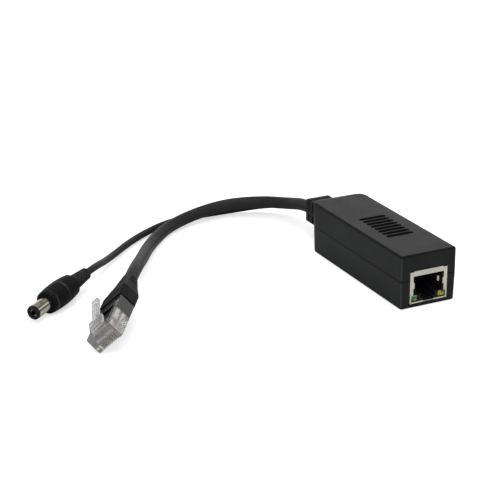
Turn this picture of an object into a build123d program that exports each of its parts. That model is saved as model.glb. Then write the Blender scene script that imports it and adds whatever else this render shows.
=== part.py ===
from build123d import *
from math import cos, pi, radians, sin, tan
import os

os.makedirs("parts", exist_ok=True)

# A power-over-Ethernet splitter: a small two-shell housing with a network jack in its front face,
# and a short network lead and a short power lead that leave through one ribbed grommet at the rear.
# The origin is the middle of the housing's underside. +X points out of the jack, +Z is up.
# All sizes are in millimetres.

# Housing
housing_length = 71.0
housing_width = 24.0
housing_height = 21.2
parting_height = 11.3
shell_wall = 1.6
floor_thickness = 1.5
roof_thickness = 1.6
rear_corner_radius = 5.0
front_corner_radius = 1.0
top_edge_radius = 0.95
rear_crown_radius = 6.5
rear_crown_angle = 25
bottom_edge_radius = 0.7
inner_corner_radius = 0.6
side_draft = 0.32
end_draft = 0.17
parting_bevel = 0.18
lip_width = 0.7
lip_height = 1.2

# Vents in the roof
vent_count = 8
vent_pitch = 2.94
vent_length = 11.5
vent_width = 2.05
vent_centre_x = 4.35
vent_bevel = 0.15

# Network jack
jack_width = 16.0
jack_height = 12.5
jack_depth = 16.0
jack_floor_gap = 0.37
jack_proud = 0.2
shield_sheet = 0.25
shield_face = 0.3
shield_top_bar = 1.7
shield_side_bar = 1.4
shield_led_bar = 0.6
shield_bottom_bar = 0.6
shield_bottom_gap = 4.5
crown_width = 12.6
crown_height = 0.3
crown_depth = 2.1
face_tab_height = 2.3
face_tab_reach = 0.5
face_tab_drop = 4.3
spring_height = 2.0
spring_depth = 2.2
spring_length = 4.8
spring_reach = 0.5
spring_ramp = 0.5
spring_lift = 0.8
pin_window_length = 1.6
pin_window_margin = 0.4
cavity_width = 11.9
cavity_lip = 0.3
cavity_height = 7.3
cavity_depth = 12.6
key_wide = 6.3
key_narrow = 4.3
key_step = 1.7
led_width = 3.0
led_height = 2.3
led_length = 5.0
led_lens_radius = 0.5
contact_count = 8
contact_pitch = 1.02
contact_width = 0.45
contact_thickness = 0.27
contact_recess = 0.75
contact_recess_setback = 2.25
contact_dip = 2.6
contact_length = 8.0
contact_bend_inset = 3.6
contact_bend_drop = 0.4
contact_bend_radius = 0.15
contact_tail_setback = 0.9
contact_slot_length = 1.2
contact_hole_radius = 0.42

# Circuit board. Parts on its upper side rise by a share of the room under the roof.
board_thickness = 1.2
board_front_gap = 2.6
board_rear_gap = 2.3
board_corner_radius = 3.0
post_radius = 1.2
post_wall_gap = 0.1
post_jack_gap = 0.6
post_rear_inset = 3.0
magnetics_size = (7.2, 10.0, 5.2)
core_size = (11.5, 12.4, 9.2)
core_corner = 0.5
core_post_radius = 1.7
core_window_share = 0.8
coil_radius = 4.3
coil_height = 5.4
base_height = 1.8
base_border_x = 0.5
base_border_y = 1.0
base_notch_length = 2.2
base_notch_width = 1.2
base_notch_inset = 0.75
input_capacitor_radius = 4.0
input_capacitor_height = 9.5
output_capacitor_radius = 3.15
output_capacitor_height = 8.0
can_edge = 0.4
can_skirt = 1.0
can_crimp = 0.35
inductor_radius = 3.0
inductor_height = 4.6
drum_core_radius = 1.5
drum_flange = 0.9
winding_inset = 0.35
side_gap = 0.8
bridge_size = (3.9, 4.7)
bridge_rise = 0.55
bridge_side_share = 0.2
controller_size = (4.9, 3.9)
controller_rise = 0.38
mosfet_size = (6.1, 3.6)
mosfet_rise = 0.4
optocoupler_size = (3.6, 4.4)
optocoupler_rise = 0.5
diode_size = (4.4, 3.6)
diode_rise = 0.53
chip_size = (2.0, 1.25)
chip_rise = 0.15
chip_columns = 3
chip_edge_gap = 1.05
contact_tail_rise = 0.18
package_leg_reach = 0.7
package_leg_share = 0.8
package_leg_thickness_share = 0.12
package_taper = 6.0

# Cable grommet
grommet_length = 15.6
grommet_width = 11.2
grommet_height = 9.9
grommet_centre_z = 11.05
grommet_corner = 1.0
grommet_end_radius = 0.4
grommet_groove = 1.0
grommet_groove_depth = 1.5
grommet_groove_count = 4
grommet_bridge_height = 1.8
grommet_bridge_drop = 5.3
grommet_neck_width = 8.4
grommet_neck_height = 7.2
grommet_flange_thickness = 1.4
grommet_flange_border = 0.8

# Cables
network_cable_diameter = 5.1
network_cable_y = -2.2
network_cable_z = 10.8
network_run_out = 7.2
network_run_in = 9.7
dc_cable_diameter = 2.8
dc_cable_y = 2.8
dc_cable_z = 10.6
dc_run_out = 7.7
dc_run_in = 7.8
corner_share = 0.45
network_lead_columns = 4
network_lead_diameter = 0.9
network_lead_pitch = 1.05
network_lead_row_pitch = 1.2
dc_lead_diameter = 1.2
dc_lead_pitch = 1.6
lead_board_inset = 3.4
lead_drop = 0.8

# Network plug
plug_length = 21.5
plug_width = 11.68
plug_height = 6.6
plug_nose_bevel = 0.6
plug_slot_width = 0.6
plug_slot_length = 6.2
plug_slot_height = 2.3
plug_blade_thickness = 0.36
plug_blade_length = 4.2
plug_blade_start = 0.9
plug_blade_lift = 0.45
plug_blade_height = 1.5
plug_wire_diameter = 0.9
plug_wire_level = 3.45
plug_wire_start = 1.7
plug_cavity_start = 12.4
plug_cavity_width = 9.7
plug_cavity_height = 4.9
plug_clamp_start = 8.3
plug_clamp_length = 3.0
plug_clamp_depth = 1.0
latch_thickness = 1.1
latch_wide = 6.4
latch_tail = 3.1
latch_shoulder_x = 5.6
latch_root_height = 4.6
latch_bend_radius = 1.0
latch_side_gap = 0.3
latch_crest = (2.0, 7.5)
latch_knee = (5.6, 8.9)
latch_tip = (14.6, 12.1)
latch_channel_depth = 1.0
latch_channel_length = 14.5
latch_recess_length = 6.0
latch_recess_width = 1.1
latch_recess_depth = 0.4

# Plug boot
boot_front = 20.6
boot_width = 12.4
boot_height = 7.8
boot_corner = 1.2
boot_shoulder = 27.5
boot_waist = 35.0
boot_waist_width = 9.0
boot_waist_height = 6.6
boot_waist_corner = 2.2
boot_rear = 42.5
boot_rear_diameter = 5.8
boot_lift = 0.2
boot_rib_first = 22.4
boot_rib_pitch = 1.75
boot_rib_groove = 0.65
boot_rib_depth = 0.35
boot_rib_count = 11
boot_side_ribs_from = 33.0

# DC plug
dc_barrel_diameter = 5.5
dc_bore_diameter = 2.1
dc_barrel_length = 8.7
dc_barrel_wall = 0.85
dc_stem_length = 4.0
dc_stem_inset = 0.5
dc_stem_step = 0.2
dc_tip_ring = 1.0
dc_tip_round = 0.4
dc_throat_diameter = 3.0
dc_contact_recess = 0.7
dc_contact_length = 9.0
dc_handle_length = 17.6
dc_relief_length = 9.3
dc_front_radius = 4.45
dc_belly_radius = 4.92
dc_belly_position = 9.2
dc_shoulder_radius = 4.3
dc_shoulder_position = 16.2
dc_relief_radius = 3.1
dc_relief_end_radius = 2.35
dc_front_round = 0.7
dc_ring_width = 0.3
dc_ring_depth = 0.18
dc_front_ring = 1.9
dc_middle_ring = 8.9
dc_relief_groove = 0.8
dc_relief_grooves = 5
dc_relief_groove_depth = 0.5

# Clearances
fit_gap = 0.05
shell_gap = 0.15
lip_gap = 0.12
cut_overrun = 1.0

# Where the two plugs lie: tip positions on the surface that the housing stands on
plug_position = (22.12, -120.48, 3.97)
plug_heading = -33.8
plug_nose_down = 5.6
plug_roll = 43.0
dc_position = (-16.18, -136.38, 3.85)
dc_heading = -52.9
dc_nose_down = 4.1

# Places that follow from the sizes
front_face_x = housing_length / 2
rear_face_x = -housing_length / 2
crown_start_x = rear_face_x + rear_crown_radius * sin(radians(rear_crown_angle))
crown_end_z = housing_height - rear_crown_radius * (1 - cos(radians(rear_crown_angle)))
inner_width = housing_width - 2 * shell_wall
inner_front_x = front_face_x - shell_wall
inner_rear_x = rear_face_x + shell_wall
roof_inside_z = housing_height - roof_thickness
jack_front_x = front_face_x + jack_proud
jack_rear_x = jack_front_x - jack_depth
jack_bottom_z = floor_thickness + jack_floor_gap
jack_centre_z = jack_bottom_z + jack_height / 2
jack_top_z = jack_bottom_z + jack_height
window_top_z = jack_top_z - shield_top_bar
cavity_top_z = window_top_z - cavity_lip
cavity_bottom_z = cavity_top_z - cavity_height
insert_half_width = jack_width / 2 - shield_sheet - fit_gap
insert_top_z = jack_top_z - shield_sheet - fit_gap
insert_bottom_z = jack_bottom_z + shield_sheet + fit_gap
insert_front_x = jack_front_x - shield_face - fit_gap
insert_rear_x = jack_rear_x + shield_sheet + fit_gap
led_centre_y = jack_width / 2 - shield_led_bar - led_width / 2
led_bottom_z = jack_bottom_z + shield_bottom_bar + 2 * fit_gap
contact_tail_x = jack_front_x - cavity_depth - contact_tail_setback
contact_bend_x = jack_front_x - contact_bend_inset
contact_row = contact_pitch * contact_count
board_bottom_z = jack_top_z + fit_gap
board_top_z = board_bottom_z + board_thickness
board_front_x = front_face_x - board_front_gap
board_rear_x = inner_rear_x + board_rear_gap
board_length = board_front_x - board_rear_x
board_width = inner_width - 2 * lip_gap
roof_room = roof_inside_z - board_top_z
post_front_x = jack_rear_x - post_jack_gap - post_radius
post_rear_x = board_rear_x + post_rear_inset
post_y = inner_width / 2 - post_wall_gap - post_radius
lead_board_x = board_rear_x + lead_board_inset
grommet_end_x = rear_face_x - grommet_length

# Under the board four parts stand in a row, with even gaps between the jack and the leads
base_length = core_size[0] + 2 * base_border_x
row_parts = magnetics_size[0] + base_length + 2 * input_capacitor_radius + 2 * inductor_radius
row_gaps = 5
row_gap = (jack_rear_x - lead_board_x - dc_lead_diameter / 2 - row_parts) / row_gaps
magnetics_x = jack_rear_x - row_gap - magnetics_size[0] / 2
core_x = magnetics_x - magnetics_size[0] / 2 - row_gap - base_length / 2
capacitor_x = core_x - base_length / 2 - row_gap - input_capacitor_radius
inductor_x = capacitor_x - input_capacitor_radius - row_gap - inductor_radius
input_capacitor_y = inner_width / 2 - side_gap - input_capacitor_radius
output_capacitor_y = -(inner_width / 2 - side_gap - output_capacitor_radius)
inductor_y = inner_width / 2 - side_gap - inductor_radius

# On the board five packages stand in a row, with even gaps between the posts
top_parts = bridge_size[0] + controller_size[0] + mosfet_size[0] + optocoupler_size[0] + diode_size[0]
top_gaps = 6
top_gap = (post_front_x - post_rear_x - 2 * post_radius - top_parts) / top_gaps
bridge_x = post_front_x - post_radius - top_gap - bridge_size[0] / 2
controller_x = bridge_x - (bridge_size[0] + controller_size[0]) / 2 - top_gap
mosfet_x = controller_x - (controller_size[0] + mosfet_size[0]) / 2 - top_gap
optocoupler_x = mosfet_x - (mosfet_size[0] + optocoupler_size[0]) / 2 - top_gap
diode_x = optocoupler_x - (optocoupler_size[0] + diode_size[0]) / 2 - top_gap
bridge_y = board_width * bridge_side_share
chip_centre_x = (post_front_x + post_rear_x) / 2
chip_pitch_x = (post_front_x - post_rear_x) / (chip_columns + 1)
chip_row_y = board_width / 2 - chip_edge_gap - chip_size[1] / 2

# Working planes
front_plane = Plane(origin=(0, 0, 0), x_dir=(0, 1, 0), z_dir=(1, 0, 0))
rear_plane = Plane(origin=(rear_face_x, 0, grommet_centre_z), x_dir=(0, -1, 0), z_dir=(-1, 0, 0))


def lying_plane(position, heading, nose_down, roll):
    # X runs out of the nose of a plug that lies on the table, Z is its upper side when it isn't rolled.
    turn = Location((0, 0, 0), (0, 0, heading))
    dip = Location((0, 0, 0), (0, nose_down, 0))
    twist = Location((0, 0, 0), (roll, 0, 0))
    return Plane(Location(position) * turn * dip * twist)


plug_plane = lying_plane(plug_position, plug_heading, plug_nose_down, plug_roll)
plug_side = Plane(plug_plane.origin, x_dir=plug_plane.x_dir, z_dir=-plug_plane.y_dir)
plug_face = Plane(plug_plane.origin, x_dir=plug_plane.y_dir, z_dir=plug_plane.x_dir)
dc_plane = lying_plane(dc_position, dc_heading, dc_nose_down, 0)
dc_face = Plane(dc_plane.origin, x_dir=dc_plane.y_dir, z_dir=dc_plane.x_dir)
dc_axis = Axis(dc_plane.origin, dc_plane.x_dir)


def save(piece, name):
    piece.part.label = name
    export_step(piece.part, f"parts/{name}.step")


def housing_outline(length, width, front_radius, rear_radius):
    # A rectangle whose two rear corners are rounded much more than its two front corners.
    with BuildSketch() as outline:
        Rectangle(length, width)
        fillet(outline.vertices().group_by(Axis.X)[0], rear_radius)
        fillet(outline.vertices().group_by(Axis.X)[-1], front_radius)
    return outline.sketch


def inner_outline(inset):
    return housing_outline(
        housing_length - 2 * inset,
        housing_width - 2 * inset,
        inner_corner_radius,
        rear_corner_radius - inset,
    )


def cut_jack_opening():
    with BuildSketch(front_plane.offset(inner_front_x - cut_overrun)) as opening:
        with Locations((0, jack_bottom_z - shell_gap)):
            Rectangle(
                jack_width + 2 * shell_gap,
                jack_height + crown_height + 2 * shell_gap,
                align=(Align.CENTER, Align.MIN),
            )
    extrude(opening.sketch, amount=shell_wall + 2 * cut_overrun, mode=Mode.SUBTRACT)


def cut_grommet_opening():
    with BuildSketch(rear_plane.offset(-shell_wall - cut_overrun)) as opening:
        RectangleRounded(
            grommet_neck_width + 2 * fit_gap,
            grommet_neck_height + 2 * fit_gap,
            grommet_corner,
        )
    extrude(opening.sketch, amount=shell_wall + 2 * cut_overrun, mode=Mode.SUBTRACT)


# Upper shell: roof with the vents, and walls down to the parting line
with BuildPart() as upper_shell:
    with BuildSketch(Plane.XY.offset(parting_height)):
        add(housing_outline(housing_length, housing_width, front_corner_radius, rear_corner_radius))
    extrude(amount=housing_height - parting_height)
    with BuildSketch(Plane.XZ):
        with BuildLine():
            JernArc((crown_start_x, housing_height), (-1, 0), rear_crown_radius, rear_crown_angle)
            Polyline(
                (rear_face_x, crown_end_z),
                (rear_face_x - cut_overrun, crown_end_z),
                (rear_face_x - cut_overrun, housing_height + cut_overrun),
                (crown_start_x, housing_height + cut_overrun),
                (crown_start_x, housing_height),
            )
        make_face()
    extrude(amount=housing_width, both=True, mode=Mode.SUBTRACT)
    roof_edges = [edge for face in upper_shell.faces().sort_by(Axis.Z)[-2:] for edge in face.edges()]
    fillet([edge for edge in roof_edges if abs(edge.center().X - crown_start_x) > fit_gap], top_edge_radius)
    chamfer(upper_shell.faces().sort_by(Axis.Z)[0].edges(), parting_bevel)
    with BuildSketch(Plane.XY.offset(parting_height)):
        add(inner_outline(shell_wall))
    extrude(amount=roof_inside_z - parting_height, mode=Mode.SUBTRACT)
    with BuildSketch(Plane.XY.offset(parting_height)):
        add(inner_outline(shell_wall - lip_width - lip_gap))
    extrude(amount=lip_height + lip_gap, mode=Mode.SUBTRACT)
    with BuildSketch(Plane.XY.offset(housing_height)):
        with Locations((vent_centre_x, 0)):
            with GridLocations(vent_pitch, vent_pitch, vent_count, 1):
                SlotOverall(vent_length, vent_width, rotation=90)
    extrude(amount=-roof_thickness, mode=Mode.SUBTRACT)
    with BuildSketch(Plane.XY.offset(housing_height)):
        with Locations((vent_centre_x, 0)):
            with GridLocations(vent_pitch, vent_pitch, vent_count, 1):
                SlotOverall(vent_length + 2 * vent_bevel, vent_width + 2 * vent_bevel, rotation=90)
    extrude(amount=-vent_bevel, taper=45, mode=Mode.SUBTRACT)
    cut_jack_opening()
    cut_grommet_opening()
    with BuildSketch(Plane.XY.offset(board_top_z + fit_gap)):
        with Locations((post_front_x, post_y), (post_front_x, -post_y)):
            Circle(post_radius)
        with Locations((post_rear_x, post_y), (post_rear_x, -post_y)):
            Circle(post_radius)
    extrude(until=Until.NEXT)
save(upper_shell, "upper_shell")

# Lower shell: drafted walls, floor, locating lip, guides for the jack and posts under the board
with BuildPart() as lower_shell:
    with BuildSketch(Plane.XY):
        add(
            housing_outline(
                housing_length - 2 * end_draft,
                housing_width - 2 * side_draft,
                front_corner_radius,
                rear_corner_radius - side_draft,
            )
        )
    with BuildSketch(Plane.XY.offset(parting_height - parting_bevel)):
        add(housing_outline(housing_length, housing_width, front_corner_radius, rear_corner_radius))
    loft()
    fillet(lower_shell.faces().sort_by(Axis.Z)[0].edges(), bottom_edge_radius)
    with BuildSketch(Plane.XY.offset(parting_height - parting_bevel)):
        add(housing_outline(housing_length, housing_width, front_corner_radius, rear_corner_radius))
    extrude(amount=parting_bevel, taper=45)
    with BuildSketch(Plane.XY.offset(parting_height)):
        add(inner_outline(shell_wall - lip_width))
    extrude(amount=lip_height)
    with BuildSketch(Plane.XY.offset(floor_thickness)):
        add(inner_outline(shell_wall))
    extrude(amount=parting_height + lip_height, mode=Mode.SUBTRACT)
    with BuildSketch(Plane.XY.offset(floor_thickness)):
        with Locations((post_front_x, post_y), (post_front_x, -post_y)):
            Circle(post_radius)
        with Locations((post_rear_x, post_y), (post_rear_x, -post_y)):
            Circle(post_radius)
    extrude(amount=board_bottom_z - floor_thickness - fit_gap)
    cut_jack_opening()
    cut_grommet_opening()
save(lower_shell, "lower_shell")

# Circuit board, hung over the jack, with holes for the jack's pins
with BuildPart() as circuit_board:
    with BuildSketch(Plane.XY.offset(board_bottom_z)) as board_outline:
        with Locations(((board_front_x + board_rear_x) / 2, 0)):
            Rectangle(board_length, board_width)
        fillet(board_outline.vertices().group_by(Axis.X)[0], board_corner_radius)
        with Locations((contact_tail_x, 0)):
            with GridLocations(contact_pitch, contact_pitch, 1, contact_count):
                Circle(contact_hole_radius, mode=Mode.SUBTRACT)
    extrude(amount=board_thickness)
save(circuit_board, "circuit_board")

# Jack shield: a folded nickel-plated box with the front face plate
with BuildPart() as jack_shield:
    with BuildSketch(front_plane.offset(jack_rear_x)):
        with Locations((0, jack_centre_z)):
            Rectangle(jack_width, jack_height)
    extrude(amount=jack_depth)
    with BuildSketch(front_plane.offset(jack_rear_x + shield_sheet)):
        with Locations((0, jack_centre_z)):
            Rectangle(jack_width - 2 * shield_sheet, jack_height - 2 * shield_sheet)
    extrude(amount=jack_depth - shield_sheet - shield_face, mode=Mode.SUBTRACT)
    with BuildSketch(front_plane.offset(jack_front_x - shield_face)):
        with Locations((0, window_top_z)):
            Rectangle(
                jack_width - 2 * shield_side_bar,
                window_top_z - cavity_bottom_z + key_step,
                align=(Align.CENTER, Align.MAX),
            )
        with Locations((0, jack_bottom_z + shield_bottom_bar)):
            Rectangle(
                jack_width - 2 * shield_led_bar,
                led_height + 4 * fit_gap,
                align=(Align.CENTER, Align.MIN),
            )
        with Locations((0, jack_bottom_z)):
            Rectangle(shield_bottom_gap, shield_bottom_bar * 2, align=(Align.CENTER, Align.MIN))
    extrude(amount=shield_face, mode=Mode.SUBTRACT)
    with BuildSketch(front_plane.offset(jack_front_x - crown_depth)):
        with Locations((0, jack_top_z)):
            Rectangle(crown_width, crown_height, align=(Align.CENTER, Align.MIN))
    extrude(amount=crown_depth)
    for side in (-1, 1):
        tab_edge_y = side * (jack_width / 2 - shield_side_bar)
        spring_wall_y = side * (jack_width / 2 - shield_sheet)
        spring_tip_y = side * (cavity_width / 2 - spring_reach)
        with BuildSketch(front_plane.offset(jack_front_x - shield_face)):
            with Locations((tab_edge_y, jack_top_z - face_tab_drop - face_tab_height / 2)):
                Rectangle(2 * face_tab_reach, face_tab_height)
        extrude(amount=shield_face)
        spring_front_x = jack_front_x - spring_depth
        with BuildSketch(Plane.XY.offset(jack_centre_z + spring_lift - spring_height / 2)):
            with BuildLine():
                Polyline(
                    (spring_front_x, spring_wall_y + side * fit_gap),
                    (spring_front_x, spring_tip_y + side * spring_ramp),
                    (spring_front_x - spring_ramp, spring_tip_y),
                    (spring_front_x - spring_length, spring_tip_y),
                    (spring_front_x - spring_length, spring_wall_y + side * fit_gap),
                    close=True,
                )
            make_face()
        extrude(amount=spring_height)
    with BuildSketch(Plane.XY.offset(jack_top_z - shield_sheet)):
        with Locations((contact_tail_x, 0)):
            Rectangle(pin_window_length, contact_row + pin_window_margin)
    extrude(amount=shield_sheet, mode=Mode.SUBTRACT)
save(jack_shield, "jack_shield")

# Jack insert: the black moulding with the plug cavity, the keyway and the two lamp pockets
with BuildPart() as jack_insert:
    with BuildSketch(front_plane.offset(insert_rear_x)):
        with Locations((0, (insert_top_z + insert_bottom_z) / 2)):
            Rectangle(2 * insert_half_width, insert_top_z - insert_bottom_z)
    extrude(amount=insert_front_x - insert_rear_x)
    with BuildSketch(front_plane.offset(insert_front_x)):
        with Locations((0, cavity_top_z)):
            Rectangle(cavity_width, cavity_height, align=(Align.CENTER, Align.MAX))
        with Locations((0, cavity_bottom_z)):
            Rectangle(key_wide, key_step, align=(Align.CENTER, Align.MAX))
        with Locations((0, cavity_bottom_z - key_step)):
            Rectangle(key_narrow, key_step, align=(Align.CENTER, Align.MAX))
    extrude(amount=-cavity_depth, mode=Mode.SUBTRACT)
    with BuildSketch(front_plane.offset(insert_front_x)):
        with Locations((led_centre_y, led_bottom_z), (-led_centre_y, led_bottom_z)):
            Rectangle(
                led_width + 2 * fit_gap,
                led_height + 2 * fit_gap,
                align=(Align.CENTER, Align.MIN),
            )
    extrude(amount=-led_length - fit_gap, mode=Mode.SUBTRACT)
    with BuildSketch(Plane.XY.offset(cavity_top_z)):
        with Locations((jack_front_x - contact_recess_setback, 0)):
            Rectangle(
                jack_front_x - contact_tail_x,
                contact_row,
                align=(Align.MAX, Align.CENTER),
            )
    extrude(amount=contact_recess, mode=Mode.SUBTRACT)
    with BuildSketch(Plane.XY.offset(cavity_top_z)):
        with Locations((contact_tail_x, 0)):
            Rectangle(contact_slot_length, contact_row)
    extrude(amount=insert_top_z - cavity_top_z, mode=Mode.SUBTRACT)
    for side in (-1, 1):
        with BuildSketch(front_plane.offset(jack_front_x - spring_depth - spring_length - fit_gap)):
            with Locations((side * insert_half_width, jack_centre_z + spring_lift)):
                Rectangle(
                    2 * (insert_half_width - cavity_width / 2) + cut_overrun,
                    spring_height + 2 * fit_gap,
                )
        extrude(amount=spring_length + 2 * fit_gap, mode=Mode.SUBTRACT)
save(jack_insert, "jack_insert")

# Jack contacts: eight gold springs that slope down into the cavity from its ceiling
contact_level_z = cavity_top_z + contact_recess / 2
with BuildPart() as jack_contacts:
    for index in range(contact_count):
        contact_y = (index - (contact_count - 1) / 2) * contact_pitch
        with BuildSketch(Plane.XZ.offset(-contact_y)):
            with BuildLine():
                FilletPolyline(
                    (contact_tail_x, board_top_z + contact_tail_rise * roof_room),
                    (contact_tail_x, contact_level_z),
                    (contact_bend_x, contact_level_z),
                    (contact_bend_x + contact_bend_drop, cavity_top_z - contact_bend_drop),
                    (contact_bend_x - contact_length, cavity_top_z - contact_dip),
                    radius=contact_bend_radius,
                )
            trace(line_width=contact_thickness)
        extrude(amount=contact_width / 2, both=True)
save(jack_contacts, "jack_contacts")

# Status lamps in the two lower corners of the jack
for lamp_name, lamp_side in (("led_green", -1), ("led_yellow", 1)):
    with BuildPart() as lamp:
        with BuildSketch(front_plane.offset(insert_front_x - led_length)):
            with Locations((lamp_side * led_centre_y, led_bottom_z + fit_gap)):
                Rectangle(led_width, led_height, align=(Align.CENTER, Align.MIN))
        extrude(amount=led_length)
        fillet(lamp.faces().sort_by(Axis.X)[-1].edges(), led_lens_radius)
    save(lamp, lamp_name)

# Cable grommet: ribbed sleeve outside, neck through the rear wall, flange inside
with BuildPart() as cable_grommet:
    with BuildSketch(rear_plane):
        RectangleRounded(grommet_width, grommet_height, grommet_corner)
    extrude(amount=grommet_length)
    fillet(cable_grommet.faces().sort_by(Axis.X)[0].edges(), grommet_end_radius)
    groove_pitch = (grommet_length + grommet_groove) / (grommet_groove_count + 1)
    for index in range(grommet_groove_count):
        groove_start = (index + 1) * groove_pitch - grommet_groove
        with BuildSketch(rear_plane.offset(groove_start)):
            Rectangle(grommet_width + cut_overrun, grommet_height + cut_overrun)
            Rectangle(
                grommet_width - 2 * grommet_groove_depth,
                grommet_height - 2 * grommet_groove_depth,
                mode=Mode.SUBTRACT,
            )
            with Locations((0, grommet_height / 2 - grommet_bridge_drop)):
                Rectangle(grommet_width + cut_overrun, grommet_bridge_height, mode=Mode.SUBTRACT)
        extrude(amount=grommet_groove, mode=Mode.SUBTRACT)
    with BuildSketch(rear_plane.offset(-shell_wall - fit_gap)):
        RectangleRounded(grommet_neck_width, grommet_neck_height, grommet_corner)
    extrude(amount=shell_wall + fit_gap)
    with BuildSketch(rear_plane.offset(-shell_wall - fit_gap)):
        RectangleRounded(
            grommet_neck_width + 2 * grommet_flange_border,
            grommet_neck_height + 2 * grommet_flange_border,
            grommet_corner,
        )
    extrude(amount=-grommet_flange_thickness)
save(cable_grommet, "cable_grommet")


def package(centre_x, centre_y, length, width, height, hang):
    # A moulded component: a tapered body on a thin row of legs that meet the board.
    seat_z = board_bottom_z if hang < 0 else board_top_z
    leg_thickness = height * package_leg_thickness_share
    with BuildSketch(Plane.XY.offset(seat_z)) as legs:
        with Locations((centre_x, centre_y)):
            Rectangle(length * package_leg_share, width + 2 * package_leg_reach)
    extrude(legs.sketch, amount=hang * leg_thickness)
    with BuildSketch(Plane.XY.offset(seat_z + hang * leg_thickness)) as body:
        with Locations((centre_x, centre_y)):
            Rectangle(length, width)
    extrude(body.sketch, amount=hang * (height - leg_thickness), taper=package_taper)


def top_package(name, places, size, rise):
    with BuildPart() as node:
        for centre_x, centre_y in places:
            package(centre_x, centre_y, size[0], size[1], rise * roof_room, 1)
    save(node, name)


with BuildPart() as lan_magnetics:
    package(magnetics_x, 0, magnetics_size[0], magnetics_size[1], magnetics_size[2], -1)
save(lan_magnetics, "lan_magnetics")

top_package("bridge_rectifiers", [(bridge_x, bridge_y), (bridge_x, -bridge_y)], bridge_size, bridge_rise)
top_package("poe_controller", [(controller_x, 0)], controller_size, controller_rise)
top_package("power_mosfet", [(mosfet_x, 0)], mosfet_size, mosfet_rise)
top_package("optocoupler", [(optocoupler_x, 0)], optocoupler_size, optocoupler_rise)
top_package("output_diode", [(diode_x, 0)], diode_size, diode_rise)

# Chip resistors and capacitors in two rows on the board
with BuildPart() as chip_parts:
    with BuildSketch(Plane.XY.offset(board_top_z)):
        with Locations((chip_centre_x, 0)):
            with GridLocations(chip_pitch_x, 2 * chip_row_y, chip_columns, 2):
                Rectangle(chip_size[0], chip_size[1])
    extrude(amount=chip_rise * roof_room)
save(chip_parts, "chip_parts")

# Power transformer: pin base, wound coil and ferrite core under the board
core_length, core_width, core_height = core_size
bobbin_bottom_z = board_bottom_z - base_height
core_wall = (core_height - coil_height) / 2 - fit_gap
coil_top_z = bobbin_bottom_z - fit_gap - core_wall - fit_gap
with BuildPart() as transformer_base:
    with BuildSketch(Plane.XY.offset(board_bottom_z)):
        with Locations((core_x, 0)):
            Rectangle(base_length, core_width + 2 * base_border_y)
    extrude(amount=-base_height)
    with BuildSketch(Plane.XY.offset(board_bottom_z)):
        with Locations((core_x, 0)):
            with GridLocations(core_length - 2 * base_notch_inset, core_width / 2, 2, 2):
                Rectangle(base_notch_length, base_notch_width)
    extrude(amount=-base_height / 2, mode=Mode.SUBTRACT)
save(transformer_base, "transformer_base")

with BuildPart() as transformer_core:
    with BuildSketch(Plane.XY.offset(bobbin_bottom_z - fit_gap)):
        with Locations((core_x, 0)):
            RectangleRounded(core_length, core_width, core_corner)
    extrude(amount=-core_height)
    with BuildSketch(Plane.XY.offset(bobbin_bottom_z - fit_gap - core_wall)):
        with Locations((core_x, 0)):
            Circle(coil_radius + 2 * fit_gap)
            Rectangle(2 * coil_radius * core_window_share, core_width + cut_overrun)
            Circle(core_post_radius, mode=Mode.SUBTRACT)
    extrude(amount=-(coil_height + 2 * fit_gap), mode=Mode.SUBTRACT)
save(transformer_core, "transformer_core")

with BuildPart() as transformer_coil:
    with BuildSketch(Plane.XY.offset(coil_top_z)):
        with Locations((core_x, 0)):
            Circle(coil_radius)
            Circle(core_post_radius + fit_gap, mode=Mode.SUBTRACT)
    extrude(amount=-coil_height)
save(transformer_coil, "transformer_coil")


def can_capacitor(name, centre_y, radius, height):
    # An electrolytic capacitor that hangs from the board, with its rolled crimp near the board.
    with BuildPart() as capacitor:
        with BuildSketch(Plane.XZ.offset(-centre_y)):
            with BuildLine():
                Polyline(
                    (capacitor_x, board_bottom_z),
                    (capacitor_x + radius - can_edge, board_bottom_z),
                    (capacitor_x + radius, board_bottom_z - can_edge),
                    (capacitor_x + radius, board_bottom_z - can_skirt),
                    (capacitor_x + radius - can_crimp, board_bottom_z - can_skirt - can_crimp),
                    (capacitor_x + radius, board_bottom_z - can_skirt - 2 * can_crimp),
                    (capacitor_x + radius, board_bottom_z - height + can_edge),
                    (capacitor_x + radius - can_edge, board_bottom_z - height),
                    (capacitor_x, board_bottom_z - height),
                    close=True,
                )
            make_face()
        revolve(axis=Axis((capacitor_x, centre_y, 0), (0, 0, 1)))
    save(capacitor, name)


can_capacitor("input_capacitor", input_capacitor_y, input_capacitor_radius, input_capacitor_height)
can_capacitor("output_capacitor", output_capacitor_y, output_capacitor_radius, output_capacitor_height)

# Filter inductor: ferrite drum with its winding between the flanges
with BuildPart() as inductor_drum:
    with BuildSketch(Plane.XY.offset(board_bottom_z)):
        with Locations((inductor_x, inductor_y)):
            Circle(inductor_radius)
    extrude(amount=-inductor_height)
    with BuildSketch(Plane.XY.offset(board_bottom_z - drum_flange)):
        with Locations((inductor_x, inductor_y)):
            Circle(inductor_radius + cut_overrun)
            Circle(drum_core_radius, mode=Mode.SUBTRACT)
    extrude(amount=-(inductor_height - 2 * drum_flange), mode=Mode.SUBTRACT)
save(inductor_drum, "inductor_drum")

with BuildPart() as inductor_winding:
    with BuildSketch(Plane.XY.offset(board_bottom_z - drum_flange - fit_gap)):
        with Locations((inductor_x, inductor_y)):
            Circle(inductor_radius - winding_inset)
            Circle(drum_core_radius + fit_gap, mode=Mode.SUBTRACT)
    extrude(amount=-(inductor_height - 2 * drum_flange - 2 * fit_gap))
save(inductor_winding, "inductor_winding")


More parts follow.
